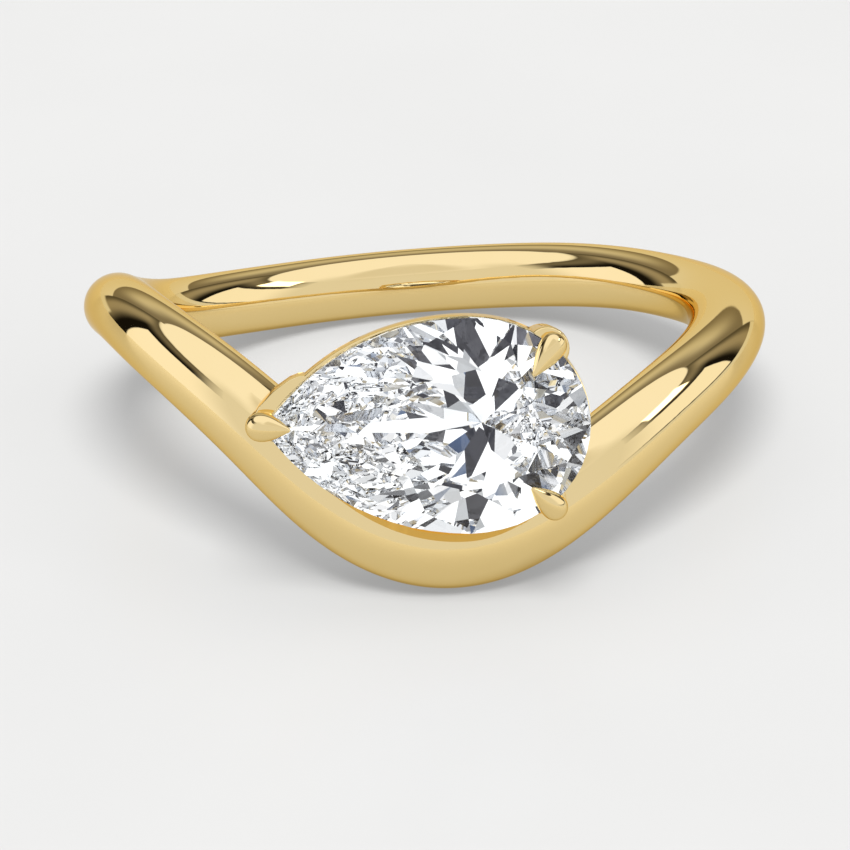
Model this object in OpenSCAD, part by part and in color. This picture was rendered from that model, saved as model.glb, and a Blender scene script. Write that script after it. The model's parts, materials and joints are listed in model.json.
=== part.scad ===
// Pear solitaire ring with a contour shank, lying as it rests on a table.
// The ring is drawn upright first, with the finger axis along z and the stone facing -y, and is laid
// down at the end. Angles round the ring are measured from the stone, positive towards +x.

/* [Finger hole] */
// Inner diameter of the ring
finger_d = 16.5; // [15.5:0.1:17.5]
// Depth of the flat that the finger hole cuts into the round wire
inner_flat = 0.05; // [0.03:0.01:0.12]

/* [Stone] */
// Length of the pear from its point to its round end
stone_length = 9.4; // [9:0.1:9.8]
// Width of the pear
stone_width = 6.28; // [6:0.02:6.6]
// How far from the widest place the round end reaches
head_length = 3.48; // [3.2:0.02:3.7]
// Height of the crown above the girdle
crown_height = 0.95; // [0.8:0.05:1.1]
// Depth of the pavilion below the girdle
pavilion_depth = 2.6; // [2.3:0.05:2.7]
// Thickness of the girdle at its thickest places
girdle = 0.26; // [0.22:0.02:0.34]
// Size of the table as a share of the girdle outline
table_share = 0.57; // [0.52:0.01:0.62]

/* [Setting] */
// Distance from the finger axis to the middle of the girdle
girdle_radius = 11.5; // [11.4:0.05:12]
// Height of the pear's long axis above the back of the shank
stone_rise = -1.43; // [-1.8:0.01:-1.2]
// How far to the side of the ring's middle the pear's widest place lies
stone_shift = 1.17; // [1:0.01:1.3]
// How far the rim stands out past the stone
rim_reach = 0.2; // [0.12:0.01:0.3]
// How far the point wall stands out past the stone
wall_reach = 0.3; // [0.2:0.01:0.4]
// Radius of a claw's post
post_r = 0.52; // [0.4:0.01:0.6]
// Radius of the bulb at the outer end of a claw
bulb_r = 0.43; // [0.35:0.01:0.5]
// Gap all round between stone and metal, at the girdle
seat_gap = 0.04; // [0.02:0.01:0.08]

/* [Resting] */
// Lean of the finger axis, back from upright, on a table
rest_lean = 16.35; // [15.8:0.05:16.8]
// Roll to the side on a table
rest_roll = 1.25; // [0.75:0.05:1.75]

/* [Hidden] */
$fn = 20;

finger_r = finger_d / 2;
gold = [0.87, 0.72, 0.42];
diamond = [0.88, 0.92, 0.96];

// Shank, every 15 degrees round the ring from its back: each row pulls the smooth wire towards it.
// Columns: angle, rise of the wire's middle above the back, half its thickness, half its width
RISE = 1;
HALF_THICK = 2;
HALF_WIDE = 3;
SHANK = [
    [-180,  0.00, 1.10, 1.05],
    [-165, -0.15, 1.10, 1.05],
    [-150, -0.30, 1.10, 1.05],
    [-135, -0.35, 1.10, 1.05],
    [-120, -0.30, 1.10, 1.05],
    [-105,  0.15, 1.10, 1.05],
    [ -90,  0.65, 1.10, 1.05],
    [ -75,  0.90, 1.10, 1.05],
    [ -60,  0.45, 1.15, 1.15],
    [ -45, -0.45, 1.20, 1.25],
    [ -30, -1.95, 1.25, 1.35],
    [ -15, -4.20, 1.30, 1.45],
    [   0, -5.35, 1.30, 1.45],
    [  15, -4.90, 1.30, 1.45],
    [  30, -3.35, 1.30, 1.35],
    [  45, -1.90, 1.25, 1.20],
    [  60, -1.00, 1.25, 1.10],
    [  75, -0.40, 1.20, 1.00],
    [  90,  0.00, 1.20, 1.00],
    [ 105,  0.20, 1.20, 1.00],
    [ 120,  0.25, 1.20, 1.00],
    [ 135,  0.35, 1.15, 1.00],
    [ 150,  0.30, 1.10, 1.05],
    [ 165,  0.15, 1.10, 1.05],
];
shank_step = 360 / len(SHANK);
shank_stations = 120;
shank_sides = 22;

// Column of the shank table at an angle, on a smooth curve drawn by the four nearest rows
function shank_at(angle, column) =
    let (
        place = (angle + 180) / shank_step,
        row = floor(place),
        f = place - row,
        near = 1 + 3 * f + 3 * f * f - 3 * pow(f, 3),
        far = pow(1 - f, 3),
        pull = [far, 6 - far - near - pow(f, 3), near, pow(f, 3)],
        rows = [for (k = [-1:2]) SHANK[(row + k + 2 * len(SHANK)) % len(SHANK)][column]]
    )
    pull * rows / 6;

function round_ring(radius, angle, height) = [radius * sin(angle), -radius * cos(angle), height];

// One cross-section of the shank: an ellipse square to the wire, open where the finger hole cuts it
function shank_section(angle) =
    let (
        thick = shank_at(angle, HALF_THICK),
        wide = shank_at(angle, HALF_WIDE),
        rise = shank_at(angle, RISE),
        middle_r = finger_r + thick - inner_flat,
        arc = 2 * middle_r * PI / 180,
        climb = atan2(shank_at(angle + 1, RISE) - shank_at(angle - 1, RISE), arc),
        start = acos((thick - inner_flat) / thick)
    )
    [
        for (k = [0:shank_sides - 1])
            let (
                turn = start + (360 - 2 * start) * k / (shank_sides - 1),
                radius = middle_r - thick * cos(turn),
                along = -wide * sin(turn)
            )
            round_ring(radius, angle - along * sin(climb) / radius * 180 / PI, rise + along * cos(climb))
    ];

// Skin of a closed loop of equal cross-sections
module closed_loop(sections) {
    stations = len(sections);
    sides = len(sections[0]);
    polyhedron(
        points = [for (section = sections) each section],
        faces = [
            for (i = [0:stations - 1], k = [0:sides - 1])
                let (
                    a = i * sides + k,
                    b = i * sides + (k + 1) % sides,
                    c = (i + 1) % stations * sides + (k + 1) % sides,
                    d = (i + 1) % stations * sides + k
                )
                each [[a, b, c], [a, c, d]]
        ],
        convexity = 6
    );
}

shank_sections = [for (i = [0:shank_stations - 1]) shank_section(i * 360 / shank_stations - 180)];

module shank() {
    closed_loop(shank_sections);
}

// Pear outline, flat, with its widest place at x = 0 and its point towards -x. The round end is half an
// ellipse and each side an arc that leaves it square to the width.
half_width = stone_width / 2;
point_length = stone_length - head_length;
side_r = (point_length * point_length + half_width * half_width) / (2 * half_width);
side_turn = asin(point_length / side_r);
half_steps = 24;

// Place on the upper outline: 0 is the round end, 1 the widest place and 2 the point
function upper_place(s) =
    s <= 1
        ? [head_length * cos(90 * s), half_width * sin(90 * s)]
        : [-side_r * sin(side_turn * (s - 1)), half_width - side_r * (1 - cos(side_turn * (s - 1)))];

function upper_normal(s) =
    let (
        n = s <= 1
            ? [cos(90 * s) / head_length, sin(90 * s) / half_width]
            : s < 2 ? [-sin(side_turn * (s - 1)), cos(side_turn * (s - 1))] : [-1, 0]
    )
    n / norm(n);

function mirrored(p, sign) = [p.x, sign * p.y];
function pear_place(s) = s < 0 ? mirrored(upper_place(-s), -1) : upper_place(s);
function pear_normal(s) = s < 0 ? mirrored(upper_normal(-s), -1) : upper_normal(s);

module pear() {
    polygon([for (i = [1 - 2 * half_steps:2 * half_steps]) pear_place(i / half_steps)]);
}

// Facets. Eight mains touch the girdle at every half step of the outline. Between two of them lie a star,
// four halves and six steps of the girdle.
keel = [0.35, 0];
mains = [-2:0.5:1.5];
main_count = 8;
steps = 6;
top = girdle / 2 + crown_height;
bottom = -girdle / 2 - pavilion_depth;
star_drop = 0.52;
lower_reach = 0.76;

function lift(p, z) = [p.x, p.y, z];
function table_corner(s) = keel + table_share * (pear_place(s) - keel);
// Rise for each millimetre inwards from the girdle on a crown main, and fall on a pavilion main
function crown_slope(s) = crown_height / ((pear_place(s) - table_corner(s)) * pear_normal(s));
function pavilion_slope(s) = pavilion_depth / ((pear_place(s) - keel) * pear_normal(s));

// Place over which two mains meet, once they have come the given distances in from the girdle
function meet(s, in_s, t, in_t) =
    let (
        n = pear_normal(s),
        m = pear_normal(t),
        a = pear_place(s) * n - in_s,
        b = pear_place(t) * m - in_t,
        d = n.x * m.y - n.y * m.x
    )
    [(a * m.y - b * n.y) / d, (b * n.x - a * m.x) / d];

function star_corner(s) =
    let (h = star_drop * crown_height)
    lift(meet(s, h / crown_slope(s), s + 0.5, h / crown_slope(s + 0.5)), girdle / 2 + h);

function keel_corner(s) =
    let (h = lower_reach * pavilion_depth)
    lift(meet(s, h / pavilion_slope(s), s + 0.5, h / pavilion_slope(s + 0.5)), -girdle / 2 - h);

// Point p lifted onto the plane through a, b and c
function on_plane(p, a, b, c) =
    let (n = cross(b - a, c - a))
    lift(p, a.z - (n.x * (p.x - a.x) + n.y * (p.y - a.y)) / n.z);

// Edge of the girdle from one main to the next, scalloped by the two halves that start at a corner
function girdle_edge(s, corner, z) =
    let (half = lift(pear_place(s + 0.25), z))
    [
        for (k = [0:steps - 1])
            let (
                main = lift(pear_place(k < steps / 2 ? s : s + 0.5), z),
                place = pear_place(s + 0.5 * k / steps)
            )
            k == 0 ? main : k == steps / 2 ? half : on_plane(place, corner, main, half)
    ];

// Numbers of the corners in the point list
ring_steps = main_count * steps;
function table_id(i) = i % main_count;
function star_id(i) = main_count + (i + main_count) % main_count;
function keel_id(i) = 2 * main_count + (i + main_count) % main_count;
function upper_id(k) = 3 * main_count + k % ring_steps;
function lower_id(k) = 3 * main_count + ring_steps + k % ring_steps;
keel_end = 3 * main_count + 2 * ring_steps;

stone_points = [
    for (s = mains) lift(table_corner(s), top),
    for (s = mains) star_corner(s),
    for (s = mains) keel_corner(s),
    for (s = mains) each girdle_edge(s, star_corner(s), girdle / 2),
    for (s = mains) each girdle_edge(s, keel_corner(s), -girdle / 2),
    lift(keel, bottom)
];

module stone() {
    faces = [
        [for (i = [0:main_count - 1]) table_id(i)],
        for (i = [0:main_count - 1])
            let (g = i * steps, half = g + steps / 2, last = g + steps)
            each [
                [table_id(i), star_id(i), table_id(i + 1)],
                [table_id(i), star_id(i - 1), upper_id(g), star_id(i)],
                [star_id(i), for (k = [g:half]) upper_id(k)],
                [star_id(i), for (k = [half:last]) upper_id(k)],
                [keel_end, keel_id(i), lower_id(g), keel_id(i - 1)],
                [keel_id(i), for (k = [half:-1:g]) lower_id(k)],
                [keel_id(i), for (k = [last:-1:half]) lower_id(k)]
            ],
        for (k = [0:ring_steps - 1]) [lower_id(k), lower_id(k + 1), upper_id(k + 1), upper_id(k)]
    ];
    polyhedron(
        points = stone_points,
        faces = [for (f = faces) [for (k = [len(f) - 1:-1:0]) f[k]]],
        convexity = 2
    );
}

// Space that the stone takes in the metal, with its gap
module stone_space() {
    grow = 1 + 2 * seat_gap / stone_width;
    scale(grow) stone();
}

// Loop round the stone, from one depth below the girdle to another, with its outer edges eased
loop_edge = 0.12;
module pear_loop(from, to, reach, inner) {
    for (ease = [0, loop_edge])
        translate([0, 0, -to + ease]) linear_extrude(to - from - 2 * ease) difference() {
            offset(delta = reach - loop_edge + ease) pear();
            offset(delta = inner) pear();
        }
}

// Rim that the girdle sits on
rim_top = 0.05;
rim_foot = 0.8;
rim_inner = -0.38;
module rim() {
    pear_loop(rim_top, rim_foot, rim_reach, rim_inner);
}

// Lower rail, hidden behind the stone, which ties the posts to the shank
base_top = 1.8;
base_foot = 2.5;
base_reach = -0.5;
base_inner = -1.15;
module lower_rail() {
    pear_loop(base_top, base_foot, base_reach, base_inner);
}

// Wall behind the point, from the rim down to the shank
wall_length = 1.45;
wall_top = 0.1;
wall_foot = 2.85;
wall_inner = -0.3;
module point_wall() {
    translate([0, 0, -wall_foot]) linear_extrude(wall_foot - wall_top) intersection() {
        difference() {
            offset(delta = wall_reach) pear();
            offset(delta = wall_inner) pear();
        }
        translate([-point_length, 0]) circle(r = wall_length, $fn = 48);
    }
}

// Claws. Columns: place on the outline, how far out its bulb lies, how far in its tip reaches, and the
// depth of its post's foot
CLAW_PLACE = 0;
CLAW_OUT = 1;
CLAW_IN = 2;
CLAW_FOOT = 3;
CLAWS = [
    [ 2.00, 0.02, 0.82, 2.4],
    [ 0.52, 0.02, 0.95, 2.2],
    [-0.55, 0.00, 0.85, 2.3],
];
// Height of the bulb above the girdle, rise of the tip over the crown for each millimetre, where the
// straight post begins, and how far it stands out past the bulb and comes in at its foot
bulb_height = 0.35;
tip_climb = 0.6;
post_top = -0.2;
post_out = 0.05;
post_lean = 0.25;
claw_tip_r = 0.07;
module claw(place, out, reach, foot) {
    p = pear_place(place);
    n = pear_normal(place);
    bulb = lift(p + n * out, bulb_height);
    tip = lift(p - n * reach, bulb_height + tip_climb * reach);
    shoulder = lift(p + n * (out + post_out), post_top);
    heel = lift(p + n * (out + post_out - post_lean), -foot);
    hull() {
        translate(bulb) sphere(bulb_r);
        translate(tip) sphere(claw_tip_r);
    }
    hull() {
        translate(bulb) sphere(bulb_r);
        translate(shoulder) sphere(post_r);
    }
    hull() {
        translate(shoulder) sphere(post_r);
        translate(heel) sphere(post_r);
    }
}

// Turns the flat-lying stone and its setting to face outwards at the front of the ring
module at_front() {
    translate([stone_shift, -girdle_radius, stone_rise]) rotate([90, 0, 0]) children();
}

function put_at_front(p) = [p.x + stone_shift, -p.z - girdle_radius, p.y + stone_rise];

// The ring leans back and rolls until it rests on the dip and the back of the shank. The middle of its
// box then comes over the origin, and its lowest point to z = 0.
function lean(p) =
    let (
        y = p.y * cos(rest_lean) + p.z * sin(rest_lean),
        z = p.z * cos(rest_lean) - p.y * sin(rest_lean)
    )
    [p.x * cos(rest_roll) + z * sin(rest_roll), y, z * cos(rest_roll) - p.x * sin(rest_roll)];

leaning = [
    for (section = shank_sections, p = section) lean(p),
    for (p = stone_points) lean(put_at_front(p))
];
middle_x = (min([for (p = leaning) p.x]) + max([for (p = leaning) p.x])) / 2;
middle_y = (min([for (p = leaning) p.y]) + max([for (p = leaning) p.y])) / 2;
lowest = min([for (p = leaning) p.z]);

module lay_down() {
    translate([-middle_x, -middle_y, -lowest]) rotate([-rest_lean, rest_roll, 0]) children();
}

module ring_mount() {
    color(gold) lay_down() union() {
        shank();
        at_front() difference() {
            union() {
                rim();
                lower_rail();
                point_wall();
                for (c = CLAWS) claw(c[CLAW_PLACE], c[CLAW_OUT], c[CLAW_IN], c[CLAW_FOOT]);
            }
            stone_space();
        }
    }
}

module pear_stone() {
    color(diamond) lay_down() at_front() stone();
}

ring_mount();
pear_stone();
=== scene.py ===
"""Looks of the pear solitaire ring: its gold and its stone, with their floor, light and camera.

The gold is modelled in millimetres, and each piece is brought to metres when it is done. Places are given on
the upright ring, with the finger axis along z and the stone facing -y: RING and SETTING lay them down.
"""
import json
import math

import bmesh
import bpy
from mathutils import Matrix, Vector


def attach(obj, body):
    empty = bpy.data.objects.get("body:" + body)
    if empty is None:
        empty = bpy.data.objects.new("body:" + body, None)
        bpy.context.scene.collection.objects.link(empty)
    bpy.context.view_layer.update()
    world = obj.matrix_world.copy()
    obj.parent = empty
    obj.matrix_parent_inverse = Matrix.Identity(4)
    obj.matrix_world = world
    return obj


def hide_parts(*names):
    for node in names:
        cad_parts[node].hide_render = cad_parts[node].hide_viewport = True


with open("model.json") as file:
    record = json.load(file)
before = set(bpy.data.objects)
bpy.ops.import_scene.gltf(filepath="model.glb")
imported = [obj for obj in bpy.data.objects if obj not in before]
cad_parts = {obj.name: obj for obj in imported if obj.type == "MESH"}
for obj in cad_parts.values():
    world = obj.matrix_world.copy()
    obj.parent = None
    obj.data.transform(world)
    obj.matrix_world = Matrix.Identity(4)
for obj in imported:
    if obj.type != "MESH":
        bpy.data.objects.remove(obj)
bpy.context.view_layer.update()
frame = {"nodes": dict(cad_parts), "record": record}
scene = bpy.context.scene

MM = 0.001
# The gold's edges stay sharp where they turn by more than this
SHARP_ANGLE = math.radians(35)
# Sides of a section that is a rectangle
RECTANGLE = 4

# Finger hole and resting place
FINGER_R = 8.25
INNER_FLAT = 0.05
hole = frame["record"]["mounts"][0]
lean = math.asin(hole["axis"][1])
roll = math.atan2(hole["axis"][0], hole["axis"][2])
RING = (
    Matrix.Translation(Vector(hole["pos_m"]) / MM)
    @ Matrix.Rotation(roll, 4, "Y")
    @ Matrix.Rotation(-lean, 4, "X")
)

# Shank, every 15 degrees round the ring from its back: each row pulls the smooth wire towards it
SHANK = [
    # angle, rise of the wire's middle above the back, half its thickness, half its width
    (-180, 0.00, 1.10, 1.05),
    (-165, -0.15, 1.10, 1.05),
    (-150, -0.30, 1.10, 1.05),
    (-135, -0.35, 1.10, 1.05),
    (-120, -0.30, 1.10, 1.05),
    (-105, 0.15, 1.10, 1.05),
    (-90, 0.65, 1.10, 1.05),
    (-75, 0.90, 1.10, 1.05),
    (-60, 0.45, 1.15, 1.15),
    (-45, -0.45, 1.20, 1.25),
    (-30, -1.95, 1.25, 1.35),
    (-15, -4.20, 1.30, 1.45),
    (0, -5.35, 1.30, 1.45),
    (15, -4.90, 1.30, 1.45),
    (30, -3.35, 1.30, 1.35),
    (45, -1.90, 1.25, 1.20),
    (60, -1.00, 1.25, 1.10),
    (75, -0.40, 1.20, 1.00),
    (90, 0.00, 1.20, 1.00),
    (105, 0.20, 1.20, 1.00),
    (120, 0.25, 1.20, 1.00),
    (135, 0.35, 1.15, 1.00),
    (150, 0.30, 1.10, 1.05),
    (165, 0.15, 1.10, 1.05),
]
RISE = 1
HALF_THICK = 2
HALF_WIDE = 3
ROW_STEP = 360 / len(SHANK)
SHANK_STATIONS = 120
SHANK_SIDES = 32

# Stone's outline and where it sits. A place on the outline is 0 at the round end, 1 at the widest place and
# 2 at the point, and it is negative along the lower side.
STONE_LENGTH = 9.4
HALF_WIDTH = 3.14
HEAD_LENGTH = 3.48
POINT_LENGTH = STONE_LENGTH - HEAD_LENGTH
SIDE_R = (POINT_LENGTH**2 + HALF_WIDTH**2) / (2 * HALF_WIDTH)
SIDE_TURN = math.asin(POINT_LENGTH / SIDE_R)
GIRDLE_RADIUS = 11.5
STONE_SHIFT = 1.17
STONE_RISE = -1.43
SEAT_GAP = 0.04
# Local x runs along the stone, y up and z out towards the viewer
SETTING = RING @ Matrix(
    ((1, 0, 0, STONE_SHIFT), (0, 0, -1, -GIRDLE_RADIUS), (0, 1, 0, STONE_RISE), (0, 0, 0, 1))
)
OUT = Vector((0, 0, 1))
# Sections that a loop has from one whole place to the next
OUTLINE_STEPS = 24

# Rim: offsets from the outline and depths under the girdle. It is thin at the round end and widens from the
# place RIM_WIDENS on. Along the lower side it is hidden behind the stone, where it sinks and deepens.
RIM_REACH = 0.12
RIM_THIN = 0.02
RIM_WIDENS = 0.95
RIM_WIDENING = 0.6
RIM_INNER = -0.38
RIM_TOP = 0.05
RIM_FOOT = 0.75
RIM_HIDDEN = -0.05
RIM_SUNK = 0.12
RIM_DEEP = 1.7
RIM_BEVEL = 0.04
# How much of the outline the change to the lower side takes, at the round end and at the point
HEAD_FADE = 0.2
POINT_FADE = 0.1

# Lower rail
RAIL_REACH = -0.5
RAIL_INNER = -1.15
RAIL_TOP = 1.8
RAIL_FOOT = 2.5
RAIL_BEVEL = 0.15

# Point wall
WALL = [
    # along the outline, reach beyond it
    (1.722, 0.06), (1.727, 0.14), (1.745, 0.23), (1.78, 0.33), (1.86, 0.44),
    (1.94, 0.48), (2.00, 0.40), (-1.97, 0.20), (-1.93, 0.02),
]
WALL_INNER = -0.1
WALL_TOP = 0.04
WALL_FOOT = 0.80
WALL_BEVEL = 0.03

# Hollow in the arm under the stone's lower side: where it runs along the outline, how far its lip lies beyond
# the outline, where that swells and by how much, and the lip's distance from the finger axis
WELL_START = -1.88
WELL_END = -0.50
WELL_STEPS = 46
WELL_FADE = 0.12
WELL_REACH = 0.24
WELL_BULGE = 0.14
WELL_MIDDLE = -1.15
WELL_HALF = 0.42
WELL_ROUND = 1.3
WELL_LIP_R = 10.75
# Slope of its floor, and how far the cutting tool runs outwards and inwards from the lip and off the floor
WELL_SLOPE = math.radians(42)
WELL_OVER = 0.4
WELL_DEEP = 1.1
WELL_CLEAR = 1.3

# Claws: a drop that lies on the stone, over a post that runs down to the shank
CLAWS = [
    # name, bulb's place and radius, tip's place, post's place and radius, its top, depth of its foot
    ("claw_point", (-6.02, 0.12), 0.44, (-5.16, 0.09), (-5.90, 0.05), 0.50, -0.5, 2.4),
    ("claw_upper", (2.42, 2.34), 0.40, (1.82, 1.54), (2.26, 2.20), 0.66, 0.0, 2.2),
    ("claw_lower", (2.40, -2.36), 0.40, (1.74, -1.71), (2.30, -2.30), 0.50, -0.6, 2.3),
]
CLAW_SIDES = 16
BULB_HEIGHT = 0.35
TIP_HEIGHT = 0.88
TIP_R = 0.05
FLANK_ROUND = 1.1
LEAST_R = 0.03
DROP_RINGS = 20
POST_RINGS = 4
POST_LEAN = 0.25
POST_ROUND = 0.1
POST_TURNS = (30, 60, 85)


# Helpers for modelling


def deselect():
    for o in bpy.context.selected_objects:
        o.select_set(False)


def start(name):
    """An empty mesh at the frame's origin, open in edit mode."""
    deselect()
    piece = bpy.data.objects.new(name, bpy.data.meshes.new(name))
    scene.collection.objects.link(piece)
    bpy.context.view_layer.objects.active = piece
    piece.select_set(True)
    bpy.ops.object.mode_set(mode="EDIT")
    return piece


def add_section(space, section, sides):
    """A loop of edges, a circle of that many sides or a rectangle, at its place and size."""
    centre, across, upwards, half_across, half_up = section
    across = across.normalized()
    upwards = upwards.normalized()
    turned = Matrix((across, upwards, across.cross(upwards))).transposed().to_4x4()
    place, turn, size = (space @ Matrix.Translation(centre) @ turned).decompose()
    where = dict(location=place, rotation=turn.to_euler())
    if sides == RECTANGLE:
        bpy.ops.mesh.primitive_plane_add(size=2 * half_across, **where)
    else:
        bpy.ops.mesh.primitive_circle_add(vertices=sides, radius=half_across, **where)
    bpy.ops.transform.resize(
        value=(1, half_up / half_across, 1), orient_type="GLOBAL", orient_matrix=turn.to_matrix(),
        orient_matrix_type="GLOBAL", center_override=place,
    )
    if sides == RECTANGLE:
        bpy.ops.mesh.delete(type="ONLY_FACE")


def select_corners(numbers):
    bpy.ops.mesh.select_all(action="DESELECT")
    work = bmesh.from_edit_mesh(bpy.context.edit_object.data)
    work.verts.ensure_lookup_table()
    for n in numbers:
        work.verts[n].select_set(True)
    work.select_flush(True)


def loft(space, sections, sides, closed):
    """Bridges sections in their order, and closes the ends of an open run."""
    first = len(bmesh.from_edit_mesh(bpy.context.edit_object.data).verts)
    for section in sections:
        add_section(space, section, sides)
    loops = [range(first + i * sides, first + (i + 1) * sides) for i in range(len(sections))]
    pairs = list(zip(loops, loops[1:]))
    if closed:
        pairs.append((loops[-1], loops[0]))
    for one, other in pairs:
        select_corners([*one, *other])
        bpy.ops.mesh.bridge_edge_loops()
    if not closed:
        for end in (loops[0], loops[-1]):
            select_corners(end)
            bpy.ops.mesh.edge_face_add()
    bpy.ops.mesh.select_all(action="SELECT")
    bpy.ops.mesh.normals_make_consistent(inside=False)


def finish_mesh(bevel=0, subdivision=0):
    """Leaves edit mode, then rounds edges and subdivides."""
    bpy.ops.object.mode_set(mode="OBJECT")
    piece = bpy.context.object
    if bevel:
        rounding = piece.modifiers.new("rounding", "BEVEL")
        rounding.width = bevel
        rounding.segments = 3
        rounding.limit_method = "ANGLE"
        bpy.ops.object.modifier_apply(modifier=rounding.name)
    if subdivision:
        smooth = piece.modifiers.new("smooth", "SUBSURF")
        smooth.levels = subdivision
        smooth.render_levels = subdivision
        bpy.ops.object.modifier_apply(modifier=smooth.name)


def cut(piece, tool):
    """Takes the tool's space out of a piece."""
    taking = piece.modifiers.new("seat", "BOOLEAN")
    taking.operation = "DIFFERENCE"
    taking.solver = "MANIFOLD"
    taking.object = tool
    bpy.context.view_layer.objects.active = piece
    bpy.ops.object.modifier_apply(modifier=taking.name)


def resize_mesh(piece, factor, centre):
    deselect()
    bpy.context.view_layer.objects.active = piece
    piece.select_set(True)
    bpy.ops.object.mode_set(mode="EDIT")
    bpy.ops.mesh.select_all(action="SELECT")
    bpy.ops.transform.resize(value=(factor, factor, factor), center_override=centre)
    bpy.ops.object.mode_set(mode="OBJECT")


def gold_piece(piece):
    resize_mesh(piece, MM, (0, 0, 0))
    bpy.ops.object.shade_smooth_by_angle(angle=SHARP_ANGLE)
    piece.data.materials.clear()
    piece.data.materials.append(gold)
    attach(piece, "root")
    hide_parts("ring_mount")


def share(done, whole):
    """How much of a stretch is done, from nought to one."""
    return min(max(done / whole, 0), 1)


def between(first, second, part):
    return first + (second - first) * part


# Shank


def shank_at(angle, column):
    """Column of the shank table at an angle, on a smooth curve drawn by the four nearest rows."""
    place = (angle + 180) / ROW_STEP
    row = math.floor(place)
    f = place - row
    pull = ((1 - f) ** 3, 3 * f**3 - 6 * f * f + 4, 1 + 3 * f + 3 * f * f - 3 * f**3, f**3)
    return sum(p * SHANK[(row + k - 1) % len(SHANK)][column] for k, p in enumerate(pull)) / 6


def shank_section(angle):
    """One ellipse, square to the wire, that touches the finger hole with its inner side."""
    thick = shank_at(angle, HALF_THICK) - INNER_FLAT / 2
    middle_r = FINGER_R + thick
    turn = math.radians(angle)
    radial = Vector((math.sin(turn), -math.cos(turn), 0))
    forwards = Vector((math.cos(turn), math.sin(turn), 0))
    climb = (shank_at(angle + 1, RISE) - shank_at(angle - 1, RISE)) / math.radians(2)
    along = middle_r * forwards + Vector((0, 0, climb))
    centre = middle_r * radial + Vector((0, 0, shank_at(angle, RISE)))
    return centre, radial, along.cross(radial), thick, shank_at(angle, HALF_WIDE)


def make_shank(seat, well):
    piece = start("shank")
    angles = [360 * i / SHANK_STATIONS - 180 for i in range(SHANK_STATIONS)]
    loft(RING, [shank_section(a) for a in angles], SHANK_SIDES, closed=True)
    finish_mesh(subdivision=2)
    cut(piece, seat)
    cut(piece, well)
    gold_piece(piece)


# Stone's outline


def upper_place(s):
    if s <= 1:
        return Vector((HEAD_LENGTH * math.cos(math.pi / 2 * s), HALF_WIDTH * math.sin(math.pi / 2 * s), 0))
    turn = SIDE_TURN * (s - 1)
    return Vector((-SIDE_R * math.sin(turn), HALF_WIDTH - SIDE_R * (1 - math.cos(turn)), 0))


def upper_normal(s):
    """Outwards across the outline. At the point it is longer, as a mitre is."""
    if s <= 1:
        turn = math.pi / 2 * s
        return Vector((math.cos(turn) / HEAD_LENGTH, math.sin(turn) / HALF_WIDTH, 0)).normalized()
    if s < 2:
        turn = SIDE_TURN * (s - 1)
        return Vector((-math.sin(turn), math.cos(turn), 0))
    return Vector((-1 / math.sin(SIDE_TURN), 0, 0))


def flipped(v, s):
    return Vector((v.x, -v.y, 0)) if s < 0 else v


def pear_place(s):
    return flipped(upper_place(abs(s)), s)


def pear_normal(s):
    return flipped(upper_normal(abs(s)), s)


# Setting


def lower_side(s):
    """Nought along the upper side and one along the lower, where the shank itself carries the stone."""
    return share(-s, HEAD_FADE) * share(s + 2, POINT_FADE)


def rim_reach(s):
    upper = between(RIM_THIN, RIM_REACH, share(s - RIM_WIDENS, RIM_WIDENING))
    return between(upper, RIM_HIDDEN, lower_side(s))


def rim_top(s):
    return between(RIM_TOP, RIM_SUNK, lower_side(s))


def rim_foot(s):
    return between(RIM_FOOT, RIM_DEEP, lower_side(s))


def across_section(s, reach, inner, top, foot):
    """A rectangle across the outline, between two offsets and two depths."""
    normal = pear_normal(s)
    centre = pear_place(s) + normal * (reach + inner) / 2 - OUT * (top + foot) / 2
    return centre, normal, OUT, normal.length * (reach - inner) / 2, (foot - top) / 2


def loop_places(inner):
    """None comes so near the point that the loop's inner side would fold over."""
    nearest = 2 + inner / (SIDE_R * math.sin(SIDE_TURN))
    places = [i / OUTLINE_STEPS for i in range(-2 * OUTLINE_STEPS, 2 * OUTLINE_STEPS)]
    return [s for s in places if s == -2 or abs(s) < nearest]


def make_rim(seat):
    piece = start("rim")
    sections = [
        across_section(s, rim_reach(s), RIM_INNER, rim_top(s), rim_foot(s)) for s in loop_places(RIM_INNER)
    ]
    loft(SETTING, sections, RECTANGLE, closed=True)
    finish_mesh(bevel=RIM_BEVEL)
    cut(piece, seat)
    gold_piece(piece)


def make_lower_rail(seat):
    piece = start("lower_rail")
    sections = [
        across_section(s, RAIL_REACH, RAIL_INNER, RAIL_TOP, RAIL_FOOT) for s in loop_places(RAIL_INNER)
    ]
    loft(SETTING, sections, RECTANGLE, closed=True)
    finish_mesh(bevel=RAIL_BEVEL)
    cut(piece, seat)
    gold_piece(piece)


def make_point_wall(seat):
    """The rim broadens into a flat wall that runs from the point claw some way up the stone."""
    piece = start("point_wall")
    sections = [across_section(s, reach, WALL_INNER, WALL_TOP, WALL_FOOT) for s, reach in WALL]
    loft(SETTING, sections, RECTANGLE, closed=False)
    finish_mesh(bevel=WALL_BEVEL)
    cut(piece, seat)
    gold_piece(piece)


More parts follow.
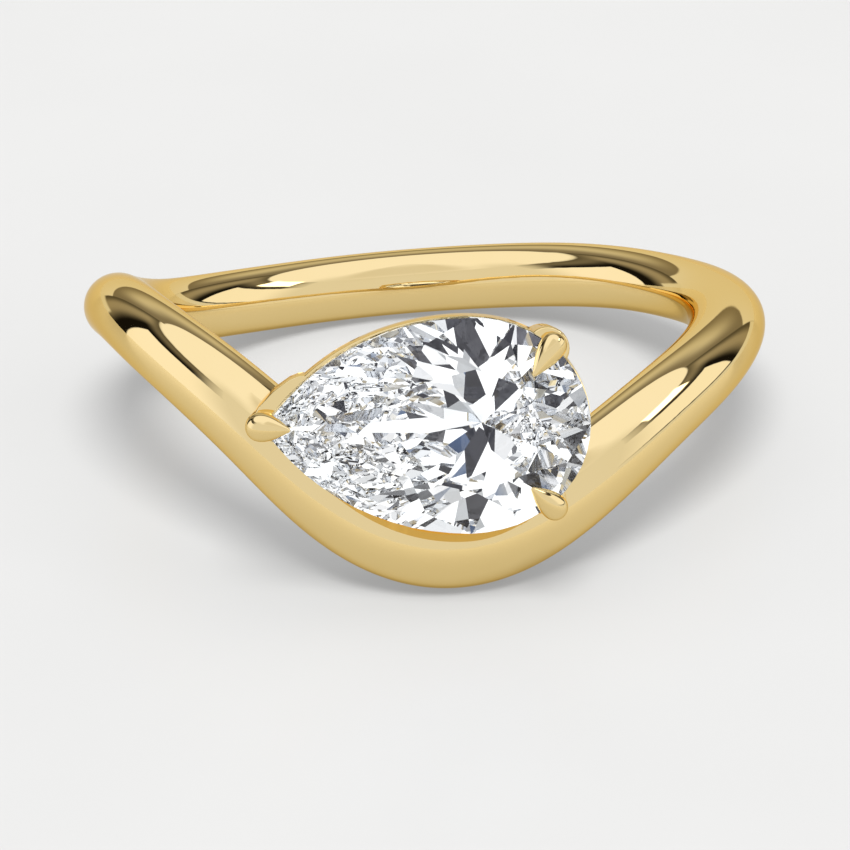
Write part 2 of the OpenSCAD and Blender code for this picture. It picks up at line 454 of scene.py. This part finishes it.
def well_section(s):
    """A rectangle whose lower side lies on the hollow's sloping floor and passes through its lip."""
    bulge = max(0, 1 - ((s - WELL_MIDDLE) / WELL_HALF) ** 2) ** WELL_ROUND
    fade = min(share(s - WELL_START, WELL_FADE), share(WELL_END - s, WELL_FADE))
    place = pear_place(s)
    normal = pear_normal(s)
    lip_depth = GIRDLE_RADIUS - math.sqrt(WELL_LIP_R**2 - (place.x + STONE_SHIFT) ** 2)
    lip = place + normal * (WELL_REACH + WELL_BULGE * bulge) * fade - OUT * lip_depth
    inwards = -normal * math.cos(WELL_SLOPE) - OUT * math.sin(WELL_SLOPE)
    away = -normal * math.sin(WELL_SLOPE) + OUT * math.cos(WELL_SLOPE)
    centre = lip + inwards * (WELL_DEEP - WELL_OVER) / 2 + away * WELL_CLEAR / 2
    return centre, inwards, away, (WELL_DEEP + WELL_OVER) / 2, WELL_CLEAR / 2


def make_well_tool():
    """Takes a sloped hollow out of the arm, which shows as a crescent between it and the stone."""
    tool = start("well_tool")
    places = [between(WELL_START, WELL_END, i / WELL_STEPS) for i in range(WELL_STEPS + 1)]
    loft(SETTING, [well_section(s) for s in places], RECTANGLE, closed=False)
    finish_mesh()
    return tool


def make_seat_tool():
    """The stone's own shape, a little larger, to cut its seat with."""
    deselect()
    tool = frame["nodes"]["pear_stone"].copy()
    tool.data = tool.data.copy()
    tool.parent = None
    tool.name = "seat_tool"
    scene.collection.objects.link(tool)
    resize_mesh(tool, 1 / MM, (0, 0, 0))
    resize_mesh(tool, 1 + SEAT_GAP / HALF_WIDTH, SETTING.translation)
    bpy.ops.object.mode_set(mode="EDIT")
    bpy.ops.mesh.remove_doubles(threshold=1e-4)
    bpy.ops.object.mode_set(mode="OBJECT")
    # Stored normals would keep the cut pieces' edges from being told by their angle
    bpy.ops.mesh.customdata_custom_splitnormals_clear()
    return tool


def drop_sections(tip, bulb, bulb_r, side):
    """Widens from the tip in a straight flank and closes in a half circle behind the bulb's middle."""
    axis = bulb - tip
    length = axis.length
    up = axis.cross(side).normalized()
    sections = []
    for i in range(DROP_RINGS + 1):
        reach = i / DROP_RINGS * (length + bulb_r)
        if reach < length:
            r = between(TIP_R, bulb_r, math.sin(math.pi / 2 * reach / length) ** FLANK_ROUND)
        else:
            r = bulb_r * math.sqrt(max(0, 1 - ((reach - length) / bulb_r) ** 2))
        r = max(r, LEAST_R)
        sections.append((tip + axis.normalized() * reach, side, up, r, r))
    return sections


def post_sections(heel, shoulder, post_r, side, inwards):
    """Runs straight up from its heel, and its top edge is rounded over."""
    places = [heel.lerp(shoulder, i / POST_RINGS) for i in range(POST_RINGS + 1)]
    sections = [(place, side, inwards, post_r, post_r) for place in places]
    for turn in POST_TURNS:
        rise = POST_ROUND * math.sin(math.radians(turn))
        r = post_r - POST_ROUND * (1 - math.cos(math.radians(turn)))
        sections.append((shoulder + OUT * rise, side, inwards, r, r))
    return sections


def make_claw(name, bulb_place, bulb_r, tip_place, post_place, post_r, post_top, foot, seat):
    piece = start(name)
    bulb = Vector((*bulb_place, BULB_HEIGHT))
    tip = Vector((*tip_place, TIP_HEIGHT))
    inwards = (Vector(tip_place) - Vector(bulb_place)).to_3d().normalized()
    side = inwards.cross(OUT)
    shoulder = Vector((*post_place, post_top))
    heel = shoulder + inwards * POST_LEAN - OUT * (post_top + foot)
    loft(SETTING, drop_sections(tip, bulb, bulb_r, side), CLAW_SIDES, closed=False)
    loft(SETTING, post_sections(heel, shoulder, post_r, side, inwards), CLAW_SIDES, closed=False)
    finish_mesh(subdivision=1)
    cut(piece, seat)
    gold_piece(piece)


# Helpers for materials


def put(tree, socket, value):
    """Sets an input to a value, or links it to another node's output."""
    if isinstance(value, bpy.types.NodeSocket):
        tree.links.new(value, socket)
    else:
        socket.default_value = value


def feed(tree, node, **inputs):
    """Puts a value or an output into each input named. Underscores stand for spaces."""
    for label, value in inputs.items():
        put(tree, node.inputs[label.replace("_", " ")], value)
    return node


def add_node(tree, kind, **inputs):
    return feed(tree, tree.nodes.new(kind), **inputs)


def add_group(tree, group, **inputs):
    node = tree.nodes.new("ShaderNodeGroup")
    node.node_tree = group
    return feed(tree, node, **inputs)


def mix_colours(tree, factor, first, second, name="mix"):
    node = tree.nodes.new("ShaderNodeMix")
    node.data_type = "RGBA"
    node.name = name
    return feed(tree, node, Factor=factor, A=first, B=second).outputs["Result"]


def calculate(tree, operation, *values):
    """A Math node whose inputs are numbers or other nodes' outputs."""
    node = tree.nodes.new("ShaderNodeMath")
    node.operation = operation
    for socket, value in zip(node.inputs, values):
        put(tree, socket, value)
    return node.outputs[0]


def new_material(name):
    material = bpy.data.materials.new(name)
    material.use_nodes = True
    return material, material.node_tree, material.node_tree.nodes["Principled BSDF"]


def new_group(name, inputs, outputs):
    """A node group with named inputs, each at its own first value, and named outputs."""
    group = bpy.data.node_groups.new(name, "ShaderNodeTree")
    for label, kind, value in inputs:
        socket = group.interface.new_socket(name=label, in_out="INPUT", socket_type=kind)
        socket.default_value = value
    for label, kind in outputs:
        group.interface.new_socket(name=label, in_out="OUTPUT", socket_type=kind)
    return group, group.nodes.new("NodeGroupInput").outputs, group.nodes.new("NodeGroupOutput")


# Materials


def make_mottle():
    """Two tones that run into each other in soft patches."""
    group, given, result = new_group(
        "mottle",
        [
            ("Scale", "NodeSocketFloat", 400),
            ("First Tone", "NodeSocketColor", (1, 1, 1, 1)),
            ("Second Tone", "NodeSocketColor", (0, 0, 0, 1)),
        ],
        [("Tone", "NodeSocketColor"), ("Share", "NodeSocketFloat")],
    )
    place = add_node(group, "ShaderNodeTexCoord").outputs["Object"]
    noise = add_node(group, "ShaderNodeTexNoise", Vector=place, Scale=given["Scale"], Detail=3)
    spread = add_node(
        group, "ShaderNodeMapRange", Value=noise.outputs["Fac"], From_Min=0.35, From_Max=0.65
    ).outputs["Result"]
    tone = mix_colours(group, spread, given["First Tone"], given["Second Tone"])
    feed(group, result, Tone=tone, Share=spread)
    return group


def make_polish_lines():
    """Fine lines round the ring, as a polishing wheel leaves them, over a faint waviness."""
    group, given, result = new_group(
        "polish_lines",
        [
            ("Line Scale", "NodeSocketFloat", 5000),
            ("Wave Scale", "NodeSocketFloat", 250),
            ("Wave Share", "NodeSocketFloat", 0.5),
        ],
        [("Height", "NodeSocketFloat")],
    )
    place = add_node(group, "ShaderNodeTexCoord").outputs["Object"]
    drawn_out = add_node(group, "ShaderNodeMapping", Vector=place, Scale=(0.04, 0.04, 1)).outputs["Vector"]
    lines = add_node(group, "ShaderNodeTexNoise", Vector=drawn_out, Scale=given["Line Scale"], Detail=2)
    waves = add_node(group, "ShaderNodeTexNoise", Vector=place, Scale=given["Wave Scale"], Detail=1)
    both = add_node(
        group, "ShaderNodeMix", Factor=given["Wave Share"], A=lines.outputs["Fac"], B=waves.outputs["Fac"]
    )
    feed(group, result, Height=both.outputs["Result"])
    return group


def make_gold():
    material, tree, shader = new_material("polished_gold")
    tones = add_group(
        tree, mottle, Scale=350, First_Tone=(0.958, 0.76, 0.392, 1), Second_Tone=(0.95, 0.75, 0.378, 1)
    )
    shine = add_node(tree, "ShaderNodeMapRange", Value=tones.outputs["Share"], To_Min=0.02, To_Max=0.035)
    lines = add_group(tree, polish_lines, Line_Scale=5000, Wave_Scale=250, Wave_Share=0.5)
    bump = add_node(
        tree, "ShaderNodeBump", Strength=0.04, Distance=0.00005, Height=lines.outputs["Height"]
    )
    # Behind the stone the gold shows pale, as white gold would, so that it doesn't yellow the facets
    path = add_node(tree, "ShaderNodeLightPath")
    behind = calculate(tree, "GREATER_THAN", path.outputs["Transmission Depth"], 0.5)
    shown = mix_colours(tree, behind, tones.outputs["Tone"], (0.70, 0.71, 0.74, 1))
    feed(
        tree, shader, Base_Color=shown, Metallic=1, Specular_Tint=(0.92, 0.76, 0.45, 1),
        Roughness=shine.outputs["Result"], Normal=bump.outputs["Normal"],
    )
    return material


def make_diamond():
    material, tree, shader = new_material("white_stone")
    tones = add_group(tree, mottle, Scale=700, First_Tone=(1, 1, 1, 1), Second_Tone=(0.93, 0.97, 1, 1))
    feed(
        tree, shader, Base_Color=tones.outputs["Tone"], Roughness=0, IOR=2.42, Transmission_Weight=1,
        Specular_Tint=(0.25, 0.25, 0.28, 1),
    )
    return material


def make_pale_floor():
    """Part of its light is its own, so that the shadow on it stays faint. The gold reflects it warmer."""
    material, tree, shader = new_material("pale_floor")
    tones = add_group(
        tree, mottle, Scale=60, First_Tone=(0.30, 0.30, 0.295, 1), Second_Tone=(0.29, 0.29, 0.285, 1)
    )
    path = add_node(tree, "ShaderNodeLightPath").outputs
    # Painted light: the floor glows with light of its own that lifts its shadow. Painted reflection: the gold
    # sees a warmer glow over a darker floor than the camera does.
    base = mix_colours(tree, path["Is Camera Ray"], (0.17, 0.17, 0.167, 1), tones.outputs["Tone"])
    own_light = mix_colours(tree, path["Is Camera Ray"], (0.37, 0.33, 0.23, 1), (0.30, 0.30, 0.297, 1))
    feed(
        tree, shader, Base_Color=base, Roughness=0.3, Specular_IOR_Level=0.1, Emission_Color=own_light,
        Emission_Strength=1,
    )
    # Rays that come through the stone pass the floor, so that it doesn't grey the facets
    clear = add_node(tree, "ShaderNodeBsdfTransparent")
    either = add_node(tree, "ShaderNodeMixShader", Fac=path["Is Transmission Ray"])
    put(tree, either.inputs[1], shader.outputs["BSDF"])
    put(tree, either.inputs[2], clear.outputs["BSDF"])
    feed(tree, tree.nodes["Material Output"], Surface=either.outputs["Shader"])
    return material


# Floor, light and camera

FLOOR_SIDE = 1.6


def lay_floor():
    deselect()
    bpy.ops.mesh.primitive_plane_add(size=FLOOR_SIDE)
    floor = bpy.context.active_object
    floor.name = "floor"
    floor.data.materials.append(make_pale_floor())


def hang_lamp():
    """A soft lamp from above and in front, which only the floor catches."""
    bpy.ops.object.light_add(type="SUN", rotation=(math.radians(28), 0, 0))
    lamp = bpy.context.active_object
    lamp.name = "overhead_lamp"
    lamp.data.energy = 4.15
    lamp.data.angle = math.radians(28)
    lamp.visible_glossy = False
    lamp.visible_transmission = False
    lamp.visible_camera = False


def set_rendering():
    """Plain colours, enough bounces for a stone, and no light that the gold throws on the floor."""
    scene.view_settings.view_transform = "Standard"
    scene.cycles.max_bounces = 32
    scene.cycles.transmission_bounces = 32
    scene.cycles.glossy_bounces = 32
    scene.cycles.caustics_reflective = False


# Room that the gold reflects
ROOM = (0.79, 0.79, 0.80)
BOXES = [
    # name, degrees round from behind the ring, degrees up, half its width and height, soft edge, colour
    ("ceiling", 0, 90, 180, 42, 1, (1.02, 1.03, 1.11)),
    ("camera_side", 172, 66, 44, 20, 12, (0.76, 0.75, 0.74)),
    ("back_wall", 0, 31, 32.6, 18, 0.6, (0.22, 0.20, 0.17)),
    ("back_wall_middle", 0, 30, 22, 9, 9, (0.62, 0.60, 0.54)),
    ("left_wall", 285, 20, 43, 27, 0.6, (0.10, 0.09, 0.07)),
    ("left_wall_middle", 285, 22, 38, 22, 4, (0.34, 0.31, 0.26)),
    ("left_frame", 279, 12, 31, 30, 7, (0.008, 0.007, 0.006)),
    ("left_window", 268, 7, 27.5, 26, 0.6, (1.05, 1.05, 1.12)),
    ("right_wall", 75, 20, 43, 29, 0.6, (0.10, 0.09, 0.07)),
    ("right_wall_middle", 75, 22, 38, 24, 4, (0.34, 0.31, 0.26)),
    ("right_frame", 79, 12, 29, 30, 7, (0.008, 0.007, 0.006)),
    ("right_window", 90, 21.2, 29, 14.3, 0.6, (1.02, 1.02, 1.06)),
    ("right_floor", 79, -3, 47, 8, 0.6, (0.76, 0.76, 0.75)),
    ("left_floor", 321, -4, 9, 9, 1.5, (0.76, 0.76, 0.75)),
    ("left_end", 236, 20, 14, 36, 12, (0.79, 0.79, 0.80)),
    ("right_end", 124, 20, 14, 36, 12, (0.79, 0.79, 0.80)),
    ("right_lamp", 88, 46, 16, 5, 1, (2.6, 2.6, 2.7)),
]

# Room that shows through the stone, in patches of a soft noise
PATCH_SCALE = 1.5
PATCHES_AT = (9.4, 4.65, 3.85)
PATCH_TONES = [
    # height in the noise, colour
    (0.376, (0.012, 0.012, 0.014)),
    (0.407, (0.05, 0.05, 0.055)),
    (0.409, (0.07, 0.12, 0.24)),
    (0.415, (0.10, 0.16, 0.28)),
    (0.417, (0.46, 0.47, 0.48)),
    (0.447, (0.72, 0.73, 0.74)),
    (0.452, (0.88, 0.88, 0.89)),
    (0.484, (0.95, 0.95, 0.96)),
    (0.494, (1.35, 1.35, 1.35)),
]
CALM_TONE = (1.06, 1.07, 1.09)


def inside(tree, distance, half_size, edge):
    """One where the distance is less than half the size, and nought past its soft edge."""
    node = add_node(
        tree, "ShaderNodeMapRange", Value=calculate(tree, "ABSOLUTE", distance),
        From_Min=math.radians(half_size + edge), From_Max=math.radians(half_size - edge),
    )
    node.interpolation_type = "SMOOTHSTEP"
    return node.outputs["Result"]


def room_round_ring(tree, direction):
    """Soft-edged boxes, each laid over those before it."""
    parts = add_node(tree, "ShaderNodeSeparateXYZ", Vector=direction).outputs
    around = calculate(tree, "ARCTAN2", parts["X"], parts["Y"])
    height = calculate(tree, "ARCSINE", parts["Z"])
    colour = (*ROOM, 1)
    for name, turned, raised, half_wide, half_high, edge, tint in BOXES:
        beside = calculate(tree, "SUBTRACT", around, math.radians(turned))
        beside = calculate(tree, "WRAP", beside, math.pi, -math.pi)
        above = calculate(tree, "SUBTRACT", height, math.radians(raised))
        across = inside(tree, beside, half_wide, edge)
        mask = calculate(tree, "MULTIPLY", across, inside(tree, above, half_high, edge))
        colour = mix_colours(tree, mask, colour, (*tint, 1), name)
    return colour


def room_through_stone(tree, direction, ray_depth):
    """Sharp patches, so that the stone's facets stand out."""
    turned = add_node(tree, "ShaderNodeMapping", Vector=direction, Location=PATCHES_AT).outputs["Vector"]
    patches = add_node(tree, "ShaderNodeTexNoise", Vector=turned, Scale=PATCH_SCALE, Detail=0)
    tones = add_node(tree, "ShaderNodeValToRGB", Fac=patches.outputs["Fac"])
    steps = tones.color_ramp.elements
    for i, (position, tone) in enumerate(PATCH_TONES):
        step = steps[i] if i < len(steps) else steps.new(position)
        step.position = position
        step.color = (*tone, 1)
    # Light that has long gone to and fro in the stone comes from paler patches, which calms the point
    wandered = add_node(tree, "ShaderNodeMapRange", Value=ray_depth, From_Min=9, From_Max=13, To_Max=0.55)
    return mix_colours(tree, wandered.outputs["Result"], tones.outputs["Color"], (*CALM_TONE, 1))


def light_studio():
    world = bpy.data.worlds.new("studio")
    scene.world = world
    world.use_nodes = True
    tree = world.node_tree
    direction = add_node(tree, "ShaderNodeTexCoord").outputs["Generated"]
    path = add_node(tree, "ShaderNodeLightPath").outputs
    through = calculate(tree, "GREATER_THAN", path["Transmission Depth"], 0.5)
    around = room_round_ring(tree, direction)
    seen = mix_colours(tree, through, around, room_through_stone(tree, direction, path["Ray Depth"]))
    feed(tree, tree.nodes["Background"], Color=seen)


# Camera, placed round the upright ring: the pixel where the middle of the finger hole shows, then the view's
# turn, height and roll, its distance and its focal length in pixels
PHOTO_SIDE = 850
RING_SEEN_AT = (421.5, 320.7)
VIEW_TURN = math.radians(-0.857)
VIEW_HEIGHT = math.radians(8.1)
VIEW_ROLL = math.radians(0.855)
VIEW_DISTANCE = 161.3
LENS_PIXELS = 5223.7


def place_camera():
    back = Vector((
        math.sin(VIEW_TURN) * math.cos(VIEW_HEIGHT),
        -math.cos(VIEW_TURN) * math.cos(VIEW_HEIGHT),
        math.sin(VIEW_HEIGHT),
    ))
    level = Vector((math.cos(VIEW_TURN), math.sin(VIEW_TURN), 0))
    upright = back.cross(level)
    right = math.cos(VIEW_ROLL) * level - math.sin(VIEW_ROLL) * upright
    up = math.sin(VIEW_ROLL) * level + math.cos(VIEW_ROLL) * upright
    # The ring's middle shows beside the picture's middle, so the camera is turned away by as much
    aside = (PHOTO_SIDE / 2 - RING_SEEN_AT[0]) / LENS_PIXELS
    below = (PHOTO_SIDE / 2 - RING_SEEN_AT[1]) / LENS_PIXELS
    look_back = (back + below * up - aside * right).normalized()
    right = (right - right.dot(look_back) * look_back).normalized()
    up = look_back.cross(right)
    pose = Matrix((right, up, look_back)).transposed().to_4x4()
    pose.translation = VIEW_DISTANCE * back
    camera = bpy.data.objects.new("camera", bpy.data.cameras.new("camera"))
    scene.collection.objects.link(camera)
    place, turn, size = (RING @ pose).decompose()
    camera.location = place * MM
    camera.rotation_euler = turn.to_euler()
    camera.data.sensor_width = 36
    camera.data.lens = LENS_PIXELS / PHOTO_SIDE * camera.data.sensor_width
    camera.data.clip_start = 0.01
    scene.camera = camera


mottle = make_mottle()
polish_lines = make_polish_lines()
gold = make_gold()
diamond = make_diamond()

seat_tool = make_seat_tool()
well_tool = make_well_tool()
make_shank(seat_tool, well_tool)
make_rim(seat_tool)
make_lower_rail(seat_tool)
make_point_wall(seat_tool)
for row in CLAWS:
    make_claw(*row, seat_tool)
bpy.data.objects.remove(seat_tool)
bpy.data.objects.remove(well_tool)

stone = frame["nodes"]["pear_stone"]
stone.material_slots[0].material = diamond

lay_floor()
hang_lamp()
set_rendering()
light_studio()
place_camera()
